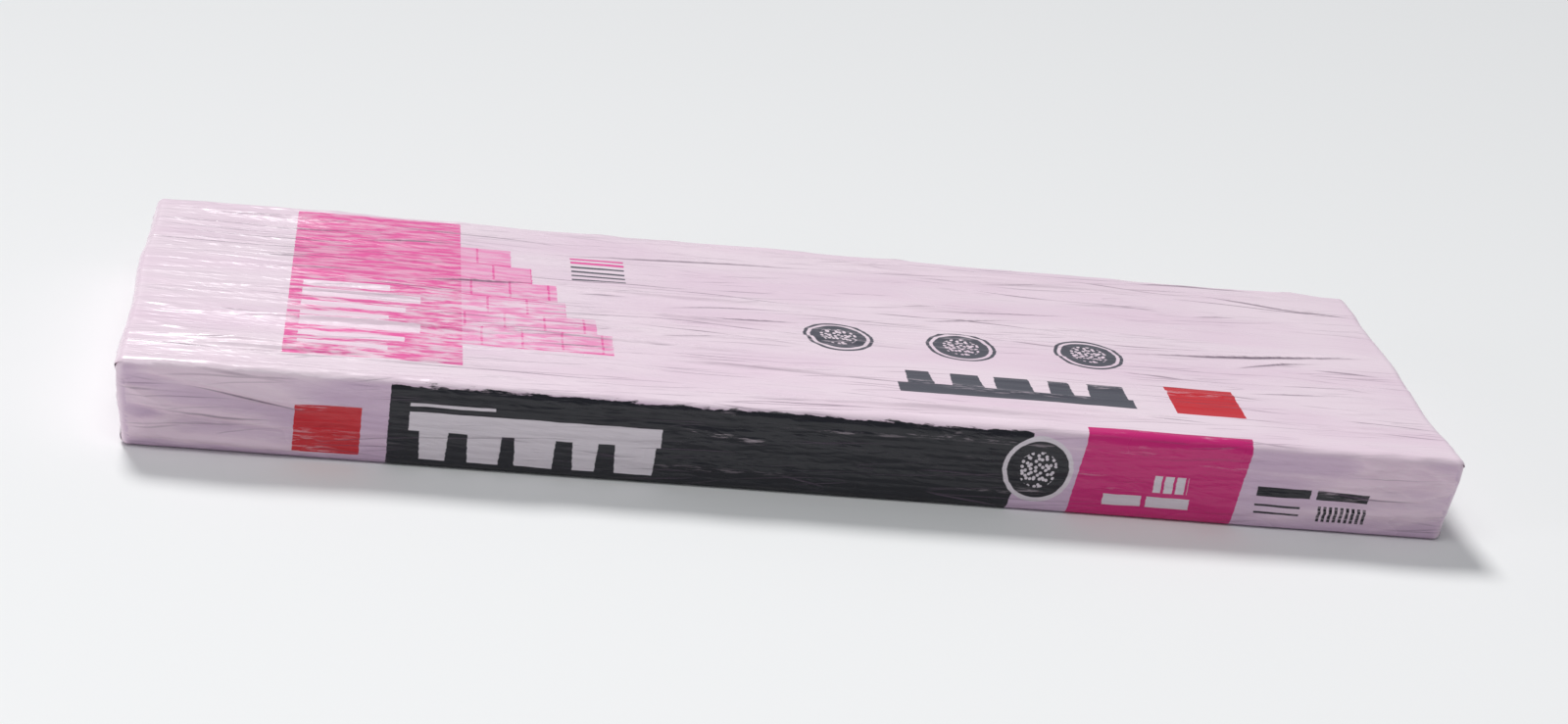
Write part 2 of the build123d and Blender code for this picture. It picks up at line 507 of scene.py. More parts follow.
def end_patch(film, way, fold, strokes):
    """One fold of the end at X = way * end.  A column starts at the section's point p with
    normal n, turns over the edge as p - n r (1 - cos f), r sin f, and then runs straight
    inward for the fold's reach.  The columns of a mitred fold draw together as they run, so
    that its sides slant by 45 degrees."""
    s = film.s
    p, n, v = fold.columns
    r = s.end_radius + fold.layer * s.ply_gap
    ends = np.full(len(p), float(way))
    slack, _ = film.slack(s.end * ends, v)
    foot = p - n * r
    inward = np.array(fold.inward, float)
    across = np.abs(inward[::-1])
    middle = (foot @ across).mean()
    spread = foot @ across - middle
    span = np.abs(spread).max()

    f = np.linspace(0, math.pi / 2, TURN_STEPS + 1)[:, None]
    sunk = r * (1 - np.cos(f)) - slack * np.cos(f) ** 2
    wander = fold.wander * (smooth_noise(spread / 0.03 + 11, 3 * ends + fold.layer, 33) - 0.5)
    reach = fold.reach + wander
    w = np.linspace(0, 1, REACH_STEPS + 1)[1:, None] * reach
    drawn = w * spread / span * fold.mitred
    straight = foot + inward * w[..., None] - across * drawn[..., None]
    yz = np.concatenate([p - n * sunk[..., None], straight])
    past = np.concatenate([np.zeros(sunk.shape), w])
    out = np.concatenate([r * np.sin(f) + 0 * slack, np.full(w.shape, r)])
    beyond = np.concatenate([r * f + 0 * slack, r * math.pi / 2 + w])
    y, z = yz[..., 0], yz[..., 1]

    done = ease((beyond - r) / SETTLE)
    hollow = HOLLOW * ease((s.half_width - s.side_fold - np.abs(y)) / HOLLOW_SOFT)
    inside = span - past - np.abs(yz @ across - middle)
    closed = ease(inside / MITRE_SOFT) if fold.mitred else 1.0
    sink = done * (fold.layer * s.ply_gap * (1 - closed) + hollow)
    loose = CURL + CURL_NOISE * smooth_noise(spread / 0.045 + 5.5, 2 * ends, 34)
    curl = loose * ease((past / reach - CURL_START) / (1 - CURL_START))
    lip = LIP * ease((past / reach - LIP_START) / (1 - LIP_START))
    pleats = creases(y, z, strokes) * done
    push = np.maximum(pleats - sink + (curl + lip) * (fold.layer > 1), -DEEPEST_AT_END)
    x = way * (s.end + out + film.bulge(way, y, z) + push)
    place = np.stack([way * (s.end + beyond), v + 0 * beyond], axis=-1)
    return np.stack([x, y, z], axis=-1), place, pleats, push


def end_strokes(rng, height, half):
    """Creases of an end, over (y, z): fans from its corners, upright folds and level ones."""
    sets = []
    for side in (-1, 1):
        for up in (0, 1):
            corner = (side * half, side * (half - 70 * MM))
            turns = (0.35, 1.0) if up == (side < 0) else (-1.0, -0.35)
            rise = (5 * MM, height - 5 * MM)
            sets.append(draw_strokes(rng, 14, (min(corner), max(corner)), rise, turns, END_CORNER))
    across = (-half, half)
    sets.append(draw_strokes(rng, 40, across, (8 * MM, height - 4 * MM), (1.25, 1.85), END_UPRIGHT))
    sets.append(draw_strokes(rng, 30, across, (5 * MM, height - 5 * MM), (-0.35, 0.35), END_LEVEL))
    return np.concatenate(sets)


# Steps of the lower flap under the bundle, the film's length there, and what is added to v
# at its front foot so that no print falls on the flap
UNDER_STEPS, UNDER_LENGTH, OFF_THE_PRINT = 110, 0.33, 0.9


def under_columns(film):
    """Points, normals and v of the lower flap's start: the feet of both long sides, and the
    whole underside between them."""
    s, m = film.s, film.marks
    flat = s.half_width - s.foot_radius
    back = slice(m["back_foot"], m["back_foot"] + HALF_ROUND)
    front = slice(m["front_foot"] - HALF_ROUND, m["front_foot"] + 1)
    points, normals = run((flat, GROUND), (-flat, GROUND), UNDER_STEPS, (0, -1))
    start = film.v[back][-1]
    v = np.linspace(start, start + UNDER_LENGTH, len(points))
    return (
        np.concatenate([film.points[back], points, film.points[front]]),
        np.concatenate([film.normals[back], normals, film.normals[front]]),
        np.concatenate([film.v[back], v, film.v[front] + OFF_THE_PRINT]),
    )


def end_patches(film, way):
    """The four folds of one end: both sides first, then the lower and the upper flap."""
    s, m = film.s, film.marks
    strokes = end_strokes(np.random.default_rng(70 + way), s.height, s.half_width)

    def columns(first, last):
        return film.points[first:last], film.normals[first:last], film.v[first:last]

    front = columns(m["front_foot"] - HALF_ROUND, m["front_top"] + HALF_ROUND + 1)
    back = columns(m["back_top"] - HALF_ROUND, m["back_foot"] + HALF_ROUND)
    top = columns(m["front_top"], m["back_top"] + 1)
    folds = (
        Fold(front, s.side_fold, 0, (1, 0), mitred=False),
        Fold(back, s.side_fold, 0, (-1, 0), mitred=False),
        Fold(under_columns(film), s.lower_flap, 1, (0, 1), wander=3 * MM),
        Fold(top, s.upper_flap, 2, (0, -1), wander=5 * MM),
    )
    return [end_patch(film, way, fold, strokes) for fold in folds]


def add_object(name, data):
    """A new object of the scene, at the origin."""
    made = bpy.data.objects.new(name, data)
    bpy.context.scene.collection.objects.link(made)
    return made


def make_mesh(name, patches, flips):
    """One mesh from several grids, with the film's own lengths as its UV map, in metres,
    and its creases' height and its slack, in millimetres, as attributes."""
    faces, first = [], 0
    for (grid, *_), flip in zip(patches, flips):
        rows, columns = grid.shape[:2]
        faces.append(grid_faces(rows, columns, first, flip))
        first += rows * columns
    points, places, sharp, loose = (
        np.concatenate([part.reshape(-1, *part.shape[2:]) for part in parts]) for parts in zip(*patches)
    )
    mesh = bpy.data.meshes.new(name)
    mesh.from_pydata(points.tolist(), [], np.concatenate(faces).tolist())
    layer = mesh.uv_layers.new(name="film")
    corners = np.empty(len(mesh.loops), dtype=np.int32)
    mesh.loops.foreach_get("vertex_index", corners)
    layer.data.foreach_set("uv", places[corners].astype(np.float32).ravel())
    for key, values in (("crease", sharp), ("slack", loose)):
        attribute = mesh.attributes.new(key, "FLOAT", "POINT")
        attribute.data.foreach_set("value", (values / MM).astype(np.float32))
    welded = bmesh.new()
    welded.from_mesh(mesh)
    bmesh.ops.remove_doubles(welded, verts=welded.verts, dist=0.01 * MM)
    welded.to_mesh(mesh)
    welded.free()
    mesh.shade_smooth()
    mesh.update()
    return add_object(name, mesh)


# Numbers and colours that a material works out


# Width over which an edge changes where nothing else is said
SOFT = 0.5 * MM


class Field:
    """A number that a material works out at each point of a surface."""

    def __init__(self, tree, socket):
        self.tree, self.socket = tree, socket

    def math(self, operation, *others, clamp=False):
        """The result of a Math node on this number and the others."""
        inputs = dict(enumerate((self, *others)))
        made = node(self.tree, "Math", inputs, operation=operation, use_clamp=clamp)
        return Field(self.tree, made.outputs[0])

    def __add__(self, other):
        return self.math("ADD", other)

    def __sub__(self, other):
        return self.math("SUBTRACT", other)

    def __mul__(self, other):
        return self.math("MULTIPLY", other)

    def __or__(self, other):
        return self.math("MAXIMUM", other)

    def abs(self):
        return self.math("ABSOLUTE")

    def scaled(self, factor, added):
        """The number times factor, plus added."""
        return self.math("MULTIPLY_ADD", factor, added)

    def flip(self):
        """One less the number."""
        return self.scaled(-1.0, 1.0)

    def over(self, edge, soft=SOFT):
        """0 below the edge and 1 above it, softly."""
        return self.math("MULTIPLY_ADD", 1 / soft, 0.5 - edge / soft, clamp=True)

    def under(self, edge, soft=SOFT):
        """1 below the edge and 0 above it, softly."""
        return self.over(edge, soft).flip()

    def slab(self, low, high, soft=SOFT):
        """1 between low and high and 0 outside, softly."""
        return (self - (low + high) / 2).abs().math(
            "MULTIPLY_ADD", -1 / soft, (high - low) / 2 / soft + 0.5, clamp=True
        )

    def repeat(self, pitch):
        """Place within a repeat of the given pitch, from 0 to 1."""
        return (self * (1 / pitch)).math("FRACT")


def new_material(name):
    """A new material, its node tree and its Principled shader."""
    material = bpy.data.materials.new(name)
    material.use_nodes = True
    tree = material.node_tree
    return material, tree, tree.nodes["Principled BSDF"]


def feed(tree, made, inputs):
    """Set inputs of a node to values, or link them to sockets and Fields."""
    for key, value in inputs.items():
        if isinstance(value, Field):
            value = value.socket
        if isinstance(value, bpy.types.NodeSocket):
            tree.links.new(value, made.inputs[key])
        else:
            made.inputs[key].default_value = value


def node(tree, kind, inputs=None, **values):
    """A new shader node with some of its own values and inputs set or linked."""
    made = tree.nodes.new("ShaderNode" + kind)
    for key, value in values.items():
        setattr(made, key, value)
    feed(tree, made, inputs or {})
    return made


def blend(base, top, mask):
    """The colour base where the mask is 0 and top where it is 1."""
    return node(mask.tree, "Mix", {0: mask, 6: base, 7: top}, data_type="RGBA").outputs[2]


class Grain(NamedTuple):
    """A pattern over the film: how many of its grains lie in a metre along the bundle and
    round it, its layer or start, its octaves, each one's share of the last, and its slant."""

    along: float
    around: float
    layer: float
    octaves: float = 2.0
    share: float = 0.5
    slant: float = 0.0


BROAD = Grain(6, 18, 3.0)
DRIFT = Grain(7, 22, 4.0)
BUSY = Grain(5, 24, 6.0, octaves=1.0)
CLEAR = Grain(3.2, 15, 7.0)
GAPS = Grain(11, 60, 17.0)
DRAG_ALONG = Grain(30, 260, 8.0)
DRAG_AROUND = Grain(30, 45, 9.0)
FRAY = Grain(55, 300, 10.0, octaves=3.0, share=0.6)
BLOTCH = Grain(34, 190, 11.0, octaves=3.0, share=0.6)
SCUFFS = Grain(60, 500, 12.0, octaves=3.0, share=0.6)
LARGE_CELLS = Grain(4.5, 50, 0.0, slant=0.05)
MIDDLE_CELLS = Grain(9, 125, 40.0, slant=-0.09)
FINE_CELLS = Grain(55, 230, 80.0, slant=0.15)
LARGE_LINES, LARGE_WIDTH = Grain(4, 46, 21.0, octaves=1.0, slant=0.03), 1.8 * MM
MIDDLE_LINES, MIDDLE_WIDTH = Grain(6, 88, 22.0, octaves=1.0, slant=-0.07), 1.2 * MM
HAIR_LINES, HAIR_WIDTH = Grain(12, 210, 23.0, octaves=1.0, slant=0.12), 0.6 * MM


def slanted(u, v, grain):
    """The place (u, v) in a pattern's own grains."""
    if grain.slant:
        v = v + u * grain.slant
    return u * grain.along, v * grain.around


def film_noise(u, v, grain):
    """A noise over the film, from 0 to 1, at the place (u, v)."""
    x, y = slanted(u, v, grain)
    place = node(u.tree, "CombineXYZ", {0: x, 1: y, 2: grain.layer})
    made = node(
        u.tree, "TexNoise",
        {"Vector": place.outputs[0], "Scale": 1.0, "Detail": grain.octaves, "Roughness": grain.share},
    )
    return Field(u.tree, made.outputs[0])


def facets(u, v, grain):
    """Distance to the nearest border of random cells, in cell widths.  The borders are the
    creases, and the slopes between them the facets."""
    x, y = slanted(u, v, grain)
    place = node(u.tree, "CombineXYZ", {0: x + grain.layer, 1: y})
    made = node(
        u.tree, "TexVoronoi", {"Vector": place.outputs[0], "Scale": 1.0},
        feature="DISTANCE_TO_EDGE", voronoi_dimensions="2D",
    )
    return Field(u.tree, made.outputs["Distance"])


def fine_lines(u, v, grain, width):
    """1 on thin lines along the film, 0 off them.  A line runs where a noise has its middle
    value between v - width / 2 and v + width / 2, so each line is as wide as the next, and
    it fades where the noise is flat: -4 a b / ((a - b)^2 + small), a and b being the noise
    less its middle value at those two places."""
    low = film_noise(u, v - width / 2, grain) - 0.5
    high = film_noise(u, v + width / 2, grain) - 0.5
    gap = low - high
    steep = gap * gap + 0.25 * (0.6 * grain.around * width) ** 2
    return (low * high * -4.0).math("DIVIDE", steep, clamp=True)


# Width of a pleat's line of painted shade, least and for each metre of its height, and its
# darkness, least and for each millimetre
LINE_WIDTH, LINE_WIDTH_SHARE = 0.9 * MM, 0.4
LINE_DARK, LINE_DARK_SHARE = 0.45, 0.20


def pleat_lines(u, v):
    """Painted shade at the foot of each sharp crease, above 0 there and 0 off it: for a crease
    from (u0, v0) to (u1, v1), with t from -1 at one end to 1 at the other, 1 - t^2 -
    (distance from its line) / width, times its darkness."""
    total = None
    for u0, v0, u1, v1, bow, height in PLEATS:
        half = (u1 - u0) / 2
        t = u.scaled(1 / half, -(u0 + u1) / 2 / half)
        fade = t * t
        off = v - t.scaled((v1 - v0) / 2, (v0 + v1) / 2)
        off = fade.scaled(-bow, off).abs()
        width = LINE_WIDTH + LINE_WIDTH_SHARE * height
        line = off.scaled(-1 / width, 1.0).math("SUBTRACT", fade, clamp=True)
        line = line * (LINE_DARK + LINE_DARK_SHARE * height / MM)
        total = line if total is None else total | line
    return total


# Print


class Patch(NamedTuple):
    """A rectangle on the film: left and right in u, foot and top in v, and how far its
    upright edges lean for each metre of v."""

    left: float
    right: float
    foot: float
    top: float
    lean: float = 0.0

    def mask(self, u, v):
        """1 on the patch and 0 off it."""
        return self.across(u, v) * v.slab(self.foot, self.top)

    def across(self, u, v):
        """1 between the patch's left and right edges and 0 beside them."""
        return (u - v * self.lean if self.lean else u).slab(self.left, self.right)


# On a long side, with v up to 0 at its top edge: the foot and the top of all print, the top
# on the back side, the black band with a strip of tabs, a rule and a plate, the magenta
# block with bars and hatching, a red tile, and bars, rules and hatching in black
SIDE_FOOT, SIDE_TOP = -0.085, 0.010
SIDE_TOP_BEHIND = 0.001
BAND_LEFT, BAND_RIGHT, BAND_LEAN = -0.314, 0.171, 0.2
BAND_TOP, BAND_SOFT = -0.8 * MM, 0.7 * MM
BAND_TABS = Patch(-0.299, -0.111, -0.059, -0.021)
BAND_RULE = Patch(-0.299, -0.236, -0.0165, -0.0140)
PLATE = (0.178, -0.030)
PLATE_RADIUS, PLATE_SHARE = 0.0275, 0.87
BLOCK = Patch(0.213, 0.343, SIDE_FOOT, SIDE_TOP, 0.12)
BLOCK_BARS = (Patch(0.232, 0.262, -0.055, -0.046), Patch(0.266, 0.300, -0.055, -0.046))
BLOCK_HATCH, BLOCK_HATCH_PITCH = Patch(0.270, 0.297, -0.042, -0.028), 9.2 * MM
SIDE_TILE = Patch(-0.383, -0.334, -0.059, -0.021)
SIDE_BARS = (Patch(0.352, 0.395, -0.038, -0.030), Patch(0.400, 0.441, -0.038, -0.030))
SIDE_RULES = (Patch(0.352, 0.388, -0.0465, -0.0448), Patch(0.352, 0.388, -0.0525, -0.0508))
SIDE_HATCH, SIDE_HATCH_PITCH = Patch(0.402, 0.441, -0.056, -0.043), 4.5 * MM

# On the top: the pink block and how far it stops from the back edge, its bars, the stepped
# courses beside it, a patch of rules, a strip of tabs, three plates and a red tile, and how
# many tabs a strip has
TOP_BLOCK_LEFT, TOP_BLOCK_RIGHT = -0.396, -0.262
TOP_BLOCK_FOOT, TOP_BLOCK_OFF = 0.0315, 8 * MM
BAR_PITCH = 20.5 * MM
BAR_LEFT, BAR_RIGHT, BAR_UNEVEN = -0.386, -0.306, 14 * MM
BAR_FIRST, BAR_LAST = 2, 9
COURSE = 34.5 * MM
COURSES_FOOT, COURSES = 0.0755, 6
COURSES_RIGHT, COURSE_STEP, COURSE_UNEVEN = -0.146, 14.5 * MM, 5 * MM
JOINT_PITCH, JOINT_SHIFT = 31.0 * MM, 12.7 * MM
NOTES = Patch(-0.172, -0.128, 0.228, 0.282)
NOTE_PITCH, NOTE_START, NOTES_PINK = 9 * MM, 0.226, 0.263
TOP_TABS = Patch(0.074, 0.262, 0.094, 0.052)
TOP_PLATES = ((0.038, 0.1535), (0.138, 0.1525), (0.244, 0.1565))
TOP_PLATE_RADIUS, TOP_PLATE_SHARE = 0.0285, 0.8
TOP_TILE = Patch(0.294, 0.350, 0.050, 0.103)
TAB_COUNT = 5


def any_of(u, v, patches):
    """1 on any of the patches and 0 off them."""
    first, *others = [patch.mask(u, v) for patch in patches]
    for other in others:
        first = first | other
    return first


def tabs(u, v, patch):
    """A strip with tabs of several widths below it: the outline of a toothed ply.  It fills
    the patch, with its strip at the patch's top."""
    low, high = sorted((patch.foot, patch.top))
    pitch = (patch.right - patch.left) / TAB_COUNT
    place = (u - patch.left) * (1 / pitch)
    uneven = (place.math("FLOOR") * 2.4 + 0.7).math("SINE") * (0.09 * pitch)
    down = (v - patch.top).abs()
    tooth = (place.math("FRACT") - 0.5).abs() * pitch + down * 0.06 + uneven
    legs = tooth.under(0.37 * pitch, 0.6 * MM)
    strip = down.under(0.40 * (high - low), 0.6 * MM)
    return (legs | strip) * patch.across(u, v) * v.slab(low, high)


def disc(u, v, middle, radius, share):
    """Masks of a ring, of a dark plate in it with specks left out amid it, as of granules,
    and of the whole round.  The plate's radius is a share of the whole."""
    tree = u.tree
    place = node(tree, "CombineXYZ", {0: u - middle[0], 1: v - middle[1]}).outputs[0]
    far = Field(tree, node(tree, "VectorMath", {0: place}, operation="LENGTH").outputs["Value"])
    cells = node(
        tree, "TexVoronoi", {"Vector": place, "Scale": 7.5 / radius}, voronoi_dimensions="2D"
    )
    specks = Field(tree, cells.outputs["Distance"]).under(0.36, 0.1) * far.under(0.55 * radius, 1 * MM)
    plate = far.under(share * radius) * specks.flip()
    return far.slab(0.9 * radius, radius), plate, far.under(radius)


def side_print(base, s, u, v, fray, behind):
    """Bands and blocks of ink on a long side, u along it and v up to 0 at its top edge.
    Behind is 1 on the back side, and fray moves the top edge of the band."""
    zone = v.over(SIDE_FOOT) * (v + behind * (SIDE_TOP - SIDE_TOP_BEHIND)).under(SIDE_TOP)
    band = u.over(BAND_LEFT) * (u - v * BAND_LEAN).under(BAND_RIGHT)
    band = band * (v + fray).under(BAND_TOP, BAND_SOFT) * zone
    _, plate, whole = disc(u, v, PLATE, PLATE_RADIUS, PLATE_SHARE)
    words = tabs(u, v, BAND_TABS) | BAND_RULE.mask(u, v)
    hatch = BLOCK_HATCH.mask(u, v) * u.repeat(BLOCK_HATCH_PITCH).over(0.25, 0.1)
    code = SIDE_HATCH.mask(u, v) * u.repeat(SIDE_HATCH_PITCH).over(0.45, 0.15)
    ink = blend(base, s.black, band)
    ink = blend(ink, s.pale, words | whole)
    ink = blend(ink, s.black, plate)
    ink = blend(ink, s.magenta, BLOCK.across(u, v) * zone)
    ink = blend(ink, s.pale, any_of(u, v, BLOCK_BARS) | hatch)
    ink = blend(ink, s.red, SIDE_TILE.mask(u, v))
    return blend(ink, s.black, any_of(u, v, SIDE_BARS + SIDE_RULES) | code)


def top_print(base, s, u, v, back_v, rub_and_glare):
    """Blocks and marks of ink on the top, v from the front edge at 0 to the back edge.  In
    blotches the pink ink is paled, more so towards the front: partly rubbed thin, partly a
    painted glare on the crumpled film."""
    up = v - COURSES_FOOT
    row = (up * (1 / COURSE)).math("FLOOR")
    edge = row * -COURSE_STEP + (row * 2.4).math("SINE") * COURSE_UNEVEN
    courses = (u - edge).under(COURSES_RIGHT) * u.over(TOP_BLOCK_RIGHT)
    courses = courses * v.slab(COURSES_FOOT, COURSES_FOOT + COURSES * COURSE)
    joints = up.repeat(COURSE).under(0.07, 0.02)
    joints = joints | (u + row * JOINT_SHIFT).repeat(JOINT_PITCH).under(0.06, 0.02)
    block = Patch(TOP_BLOCK_LEFT, TOP_BLOCK_RIGHT, TOP_BLOCK_FOOT, back_v - TOP_BLOCK_OFF).mask(u, v)
    line = (v * (1 / BAR_PITCH)).math("FLOOR")
    bars = u.over(BAR_LEFT) * (u - (line * 2.1).math("SINE") * BAR_UNEVEN).under(BAR_RIGHT)
    bars = bars * v.slab(BAR_FIRST * BAR_PITCH, BAR_LAST * BAR_PITCH) * v.repeat(BAR_PITCH).over(0.5, 0.05)
    notes = NOTES.mask(u, v) * (v - NOTE_START).repeat(NOTE_PITCH).over(0.62, 0.12)
    marks = notes | tabs(u, v, TOP_TABS)
    for middle in TOP_PLATES:
        ring, plate, _ = disc(u, v, middle, TOP_PLATE_RADIUS, TOP_PLATE_SHARE)
        marks = marks | ring | plate
    # Pink paled in blotches, most towards the front: partly rubbed ink, partly painted glare
    left = (rub_and_glare * v.over(0.19, 40 * MM).scaled(-0.38, 0.80)).flip()
    ink = blend(base, s.pale_pink, courses * left)
    ink = blend(ink, s.pink, ((courses * joints) | block) * left)
    ink = blend(ink, s.bars, bars * block)
    ink = blend(ink, s.grey, marks)
    ink = blend(ink, s.pink, notes * v.over(NOTES_PINK))
    return blend(ink, s.red, TOP_TILE.mask(u, v))


# Film, shingles and floor


# Height of a pair of shingles, whose edges show through the film's sides as ribs, and how
# far down a side the ribs end and start
RIB_PITCH = 6.01 * MM
RIB_SIDE_FOOT, RIB_SIDE_TOP = 66 * MM, 3 * MM


def off_ends(s, u, inset, soft, least):
    """1 on the sleeve and least at its ends, from the given distance before each end."""
    reach = s.end - inset
    return u.slab(-reach, reach, soft).scaled(1 - least, least)


def plain_film(s, broad, on_side, slack):
    """Colour of the film without ink: cloudy; darker on the long sides as painted shade, partly
    the dark stack showing through; and darker lilac again where its slack is low, as painted
    shade in the hollows between folds, partly the stack showing through."""
    # Painted shade in the hollows between folds, mostly on the sides, partly the dark stack showing
    # through
    close = slack.under(2.2, 2.2) * on_side.scaled(0.62, 0.06)
    base = blend(s.film, s.cloudy, broad.over(0.52, 0.25) * 0.5)
    # Painted shade on the long sides, partly the dark stack showing through
    base = blend(base, s.side, on_side * 0.5)
    return blend(base, s.close, close)


def printed_film(base, s, u, v, dragged, back_v):
    """The film's colour with its ink, which lies a little off (u, v), at dragged."""
    fray = (film_noise(u, v, FRAY) - 0.5) * (8 * MM)
    # Blotches where the pink ink is paled: partly wear, partly painted glare
    rub_and_glare = film_noise(u, v, BLOTCH).over(0.50, 0.14)
    u, v = dragged
    behind = v.over(back_v / 2, 1 * MM)
    turn = behind.scaled(-2.0, 1.0)
    ink = side_print(base, s, u * turn, v * turn + behind * back_v, fray, behind)
    return top_print(ink, s, u, v, back_v, rub_and_glare)


def dark_lines(u, v):
    """Painted shade along the sharpest creases, broken into dashes: 1 at the darkest."""
    clear = film_noise(u, v, CLEAR)
    large = fine_lines(u, v, LARGE_LINES, LARGE_WIDTH) * clear.over(0.50, 0.08)
    middle = fine_lines(u, v, MIDDLE_LINES, MIDDLE_WIDTH) * clear.over(0.44, 0.08)
    return ((large * 0.80) | (middle * 0.50)) * film_noise(u, v, GAPS).over(0.48, 0.14)


def film_relief(s, u, v, back_v, broad, busy, on_side, lines):
    """Height of the fine creases, in millimetres: facets of three sizes, ribs of the stack on
    the sides, and the lines as furrows.  The right half of the top is smoother."""
    drifted = v + (film_noise(u, v, DRIFT) - 0.5) * (16 * MM)
    crumpled = (u.under(-0.02, 0.30) | on_side).scaled(0.55, 0.45)
    sides = v.slab(-RIB_SIDE_FOOT, -RIB_SIDE_TOP, 2 * MM)
    sides = sides | v.slab(back_v + RIB_SIDE_TOP, back_v + RIB_SIDE_FOOT, 2 * MM)
    ribs = (v * (math.pi / RIB_PITCH)).math("COSINE").abs() * sides * broad.over(0.47, 0.3)
    height = facets(u, drifted, LARGE_CELLS) * crumpled * 1.8 + ribs * 0.34
    height = height + facets(u, drifted, MIDDLE_CELLS) * busy.scaled(0.7, 0.3) * crumpled * 0.8
    height = height + facets(u, drifted, FINE_CELLS) * (crumpled - 0.3) * 0.5 - lines * 0.40
    return height * off_ends(s, u, 8 * MM, 14 * MM, 0.4)


def film_material(s, back_v):
    """Semi-gloss film, printed on both long sides and the top.  Sharp creases run along it:
    facets between them tilt the surface, and the finest creases show as dark lines of painted
    shade."""
    material, tree, shader = new_material("printed_film")
    split = node(tree, "SeparateXYZ", {0: node(tree, "UVMap", uv_map="film").outputs[0]})
    u, v = Field(tree, split.outputs[0]), Field(tree, split.outputs[1])
    crease = Field(tree, node(tree, "Attribute", attribute_name="crease").outputs["Fac"])
    slack = Field(tree, node(tree, "Attribute", attribute_name="slack").outputs["Fac"])
    broad = film_noise(u, v, BROAD)
    busy = film_noise(u, v, BUSY).over(0.5, 0.22)
    on_side = v.under(-1 * MM, 4 * MM) | v.over(back_v + 1 * MM, 4 * MM)
    on_side = on_side * off_ends(s, u, 0, 6 * MM, 0.2)

    u_ink = u + (film_noise(u, v, DRAG_ALONG) - 0.5) * (1.6 * MM)
    v_ink = v + (film_noise(u, v, DRAG_AROUND) - 0.5) * (1.8 * MM)
    ink = plain_film(s, broad, on_side, slack)
    ink = printed_film(ink, s, u, v, (u_ink, v_ink), back_v)
    scuffs = crease.over(0.6, 0.5) * film_noise(u, v, SCUFFS).over(0.55, 0.1)
    ink = blend(ink, s.scuffed, scuffs * 0.35)
    # Painted shade in the creases, partly the doubled film: dark lines, faint hair lines and the pleats'
    # lines, blended to the fold colour
    lines = dark_lines(u, v)
    hair = fine_lines(u, v, HAIR_LINES, HAIR_WIDTH) * busy
    drawn = (lines | (hair * 0.10)) * off_ends(s, u, 3 * MM, 8 * MM, 0.3)
    ink = blend(ink, s.fold, drawn | pleat_lines(u, v_ink))

    height = film_relief(s, u, v, back_v, broad, busy, on_side, lines)
    bump = node(tree, "Bump", {"Height": height, "Strength": 1.0, "Distance": 1.0 * MM}).outputs[0]
    rough = broad.scaled(0.20, 0.17)
    feed(tree, shader, {"Base Color": ink, "Roughness": rough, "Specular IOR Level": 0.5, "Normal": bump})
    return material


def shingle_material(s):
    """Mineral granules pressed into asphalt, with bare asphalt on the cut edges."""
    material, tree, shader = new_material("granules_on_asphalt")
    at = node(tree, "TexCoord").outputs["Object"]
    cells = node(tree, "TexVoronoi", {"Vector": at, "Scale": 1 / s.granule})
    tone = Field(tree, node(tree, "SeparateColor", {0: cells.outputs["Color"]}).outputs[0])
    clouds = node(tree, "TexNoise", {"Vector": at, "Scale": 14.0, "Detail": 4.0})
    cloud = Field(tree, clouds.outputs[0]).over(0.45, 0.5)
    grains = blend(s.dark, s.pale, (tone * cloud).math("POWER", 1.6))
    facing = node(tree, "SeparateXYZ", {0: node(tree, "NewGeometry").outputs["Normal"]})
    up = Field(tree, facing.outputs[2]).over(0.5, 0.4)
    dome = Field(tree, cells.outputs["Distance"]).flip()
    bump = node(tree, "Bump", {"Height": dome * up, "Strength": 0.9, "Distance": 0.5 * MM}).outputs[0]
    feed(tree, shader, {"Base Color": blend(s.asphalt, grains, up), "Roughness": 0.85, "Normal": bump})
    return material


def floor_material():
    """Plain, pale and dull."""
    material, tree, shader = new_material("pale_floor")
    pale = (0.86, 0.86, 0.86, 1)
    feed(tree, shader, {"Base Color": pale, "Roughness": 0.95, "Specular IOR Level": 0.1})
    return material


# Operators


class BUNDLE_OT_wrap(bpy.types.Operator):
    """Make the creased film wrap"""

    bl_idname = "bundle.wrap"
    bl_label = "Wrap the bundle"

    def execute(self, context):
        s = context.scene.bundle_wrap
        film = Film(s)
        patches, flips = [sleeve_patch(film)], [True]
        for way in (-1, 1):
            patches += end_patches(film, way)
            flips += [way > 0] * 4
        obj = make_mesh("film_sheet", patches, flips)
        obj.data.materials.append(film_material(s, film.back_v))
        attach(obj, "root")
        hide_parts("film_wrap")
        return {"FINISHED"}


class BUNDLE_OT_shingles(bpy.types.Operator):
    """Give the shingles their granules"""

    bl_idname = "bundle.shingles"
    bl_label = "Finish the shingles"

    def execute(self, context):
        material = shingle_material(context.scene.bundle_shingles)
        for name in ("shingles_butt_front", "shingles_butt_back"):
            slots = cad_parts[name].data.materials
            slots.clear()
            slots.append(material)
        return {"FINISHED"}


# The light from all round, the key light's strength, its spread in degrees and its way, the
# two lamps' places, targets, sizes and watts, and the width of the camera's sensor in mm
ROOM_COLOUR, ROOM_LIGHT = (0.90, 0.95, 1.0, 1), 0.25
KEY_LIGHT, KEY_SPREAD, KEY_WAY = 2.3, 16, (0.33, -0.93, -1.1)
OVER_LAMP = (-0.5, -1.0, 3.0), (0, 0, 0), (2.6, 1.0), 24
FILL_LAMP = (-3.0, -1.6, 1.0), (0, 0, 0.03), (1.2, 1.0), 11
SENSOR = 36


def point(obj, way):
    """Turn a light or a camera so that it looks the given way."""
    obj.rotation_mode = "QUATERNION"
    obj.rotation_quaternion = Vector(way).to_track_quat("-Z", "Y")


def area_light(name, place, target, size, power):
    """A rectangular lamp that looks at its target."""
    lamp = bpy.data.lights.new(name, "AREA")
    lamp.shape = "RECTANGLE"
    lamp.size, lamp.size_y = size
    lamp.energy = power
    obj = add_object(name, lamp)
    obj.location = place
    point(obj, Vector(target) - Vector(place))


